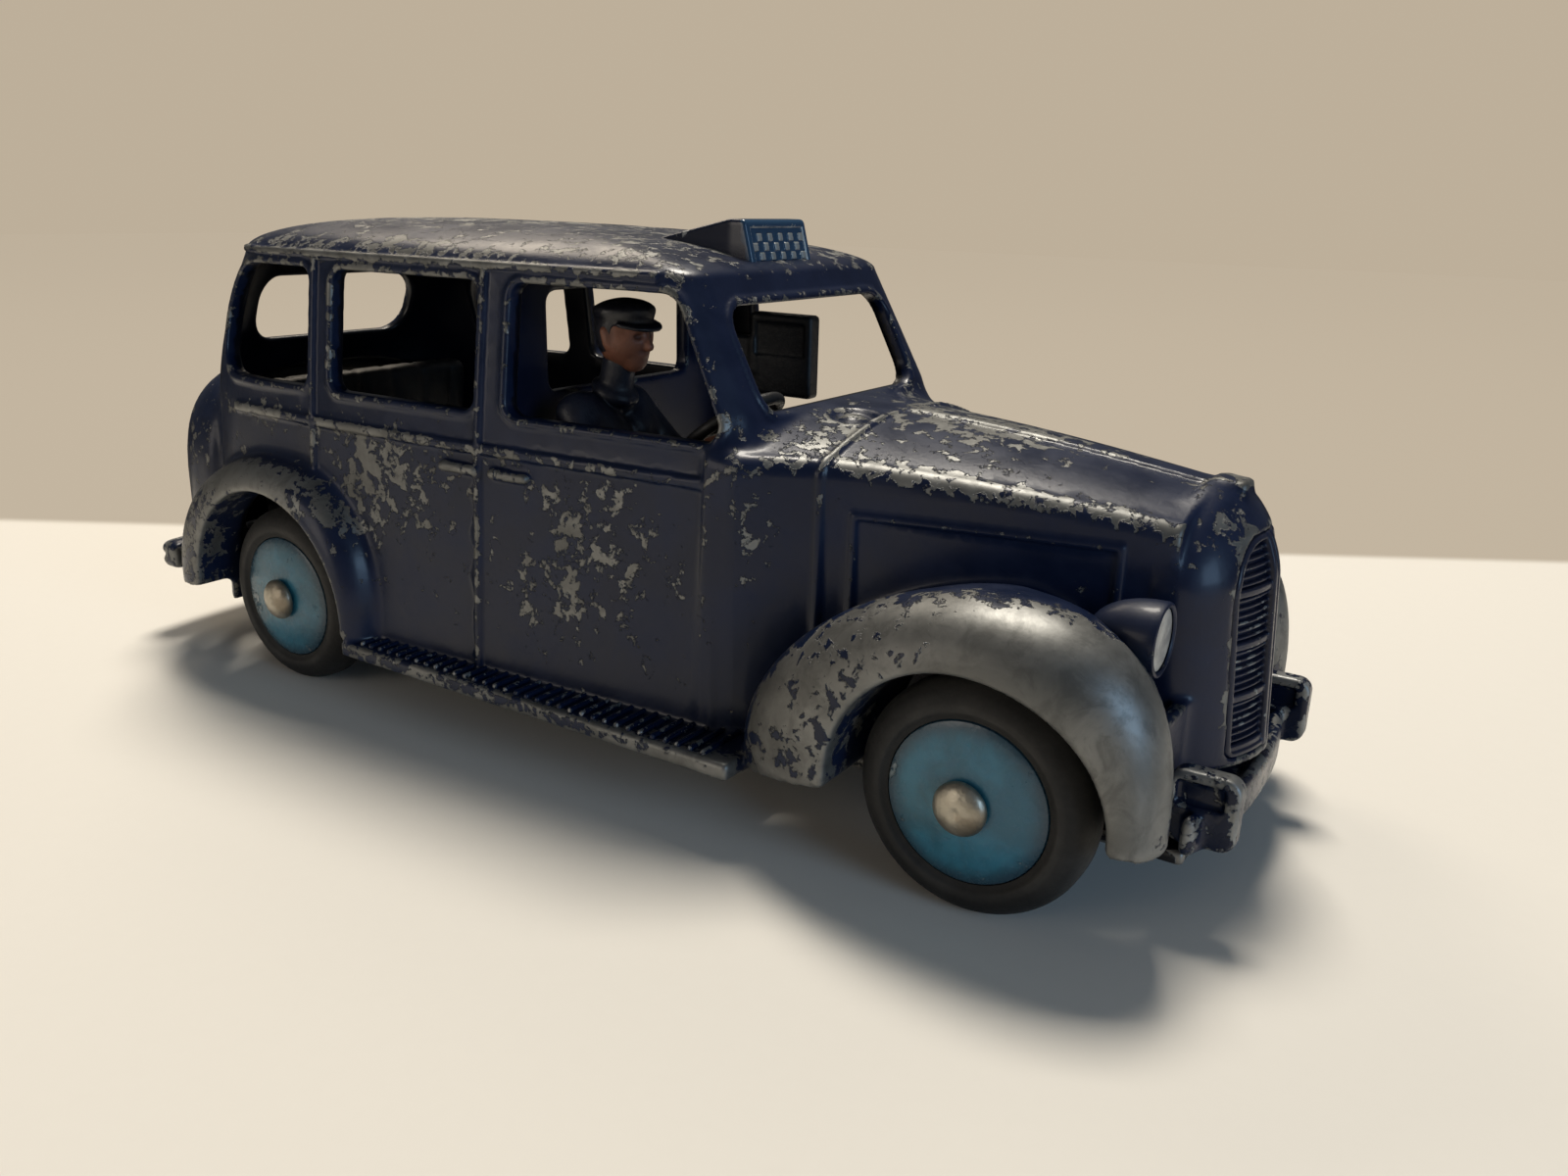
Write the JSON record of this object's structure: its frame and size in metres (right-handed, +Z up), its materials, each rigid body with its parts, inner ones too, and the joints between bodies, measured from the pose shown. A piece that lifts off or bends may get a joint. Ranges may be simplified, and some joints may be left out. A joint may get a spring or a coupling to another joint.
{
  "type": "toy taxi",
  "caption": "Worn die-cast toy taxi with a tall windowed cab, open luggage bay, seated driver, roof sign and rolling wheels.",
  "frame": {"origin": "On the ground plane under the middle of the outside box.", "axes": "+X forward to the radiator, +Y to the car's left side, +Z up."},
  "size_m": [0.094, 0.0364, 0.0374],
  "materials": {
    "navy_paint": "gloss, worn through to dull metal",
    "lamp_silver": "satin",
    "sign_paint": "gloss, rubbed",
    "base_paint": "satin",
    "bare_metal": "dull",
    "inside_plastic": "matt",
    "figure_paint": "matt",
    "axle_steel": "dull",
    "hub_paint": "satin",
    "tyre_rubber": "matt"
  },
  "bodies": {
    "car": {"body_shell": "navy_paint", "radiator_grille": "navy_paint", "headlamp_right": "lamp_silver", "headlamp_left": "lamp_silver", "roof_sign": "sign_paint", "front_bumper": "navy_paint", "rear_bumper": "navy_paint", "base_plate": "base_paint", "body_rivets": "bare_metal", "rear_seat": "inside_plastic", "partition": "inside_plastic", "driver_seat": "inside_plastic", "driver": "figure_paint", "steering_wheel": "inside_plastic", "taximeter": "inside_plastic"},
    "front_axle_set": {"front_axle": "axle_steel"},
    "rear_axle_set": {"rear_axle": "axle_steel"},
    "front_right_wheel": {"front_right_hub": "hub_paint", "front_right_tyre": "tyre_rubber"},
    "front_left_wheel": {"front_left_hub": "hub_paint", "front_left_tyre": "tyre_rubber"},
    "rear_right_wheel": {"rear_right_hub": "hub_paint", "rear_right_tyre": "tyre_rubber"},
    "rear_left_wheel": {"rear_left_hub": "hub_paint", "rear_left_tyre": "tyre_rubber"}
  },
  "joints": [
    {"name": "front_axle_spin", "type": "hinge", "parent": "car", "child": "front_axle_set", "pos_m": [0.0339, 0, 0.0071], "axis": [0, 1, 0], "continuous": true},
    {"name": "front_right_wheel_spin", "type": "hinge", "parent": "front_axle_set", "child": "front_right_wheel", "pos_m": [0.0339, -0.0144, 0.0071], "axis": [0, 1, 0], "continuous": true},
    {"name": "front_left_wheel_spin", "type": "hinge", "parent": "front_axle_set", "child": "front_left_wheel", "pos_m": [0.0339, 0.0144, 0.0071], "axis": [0, 1, 0], "continuous": true},
    {"name": "rear_axle_spin", "type": "hinge", "parent": "car", "child": "rear_axle_set", "pos_m": [-0.0261, 0, 0.0071], "axis": [0, 1, 0], "continuous": true},
    {"name": "rear_right_wheel_spin", "type": "hinge", "parent": "rear_axle_set", "child": "rear_right_wheel", "pos_m": [-0.0261, -0.0144, 0.0071], "axis": [0, 1, 0], "continuous": true},
    {"name": "rear_left_wheel_spin", "type": "hinge", "parent": "rear_axle_set", "child": "rear_left_wheel", "pos_m": [-0.0261, 0.0144, 0.0071], "axis": [0, 1, 0], "continuous": true}
  ]
}
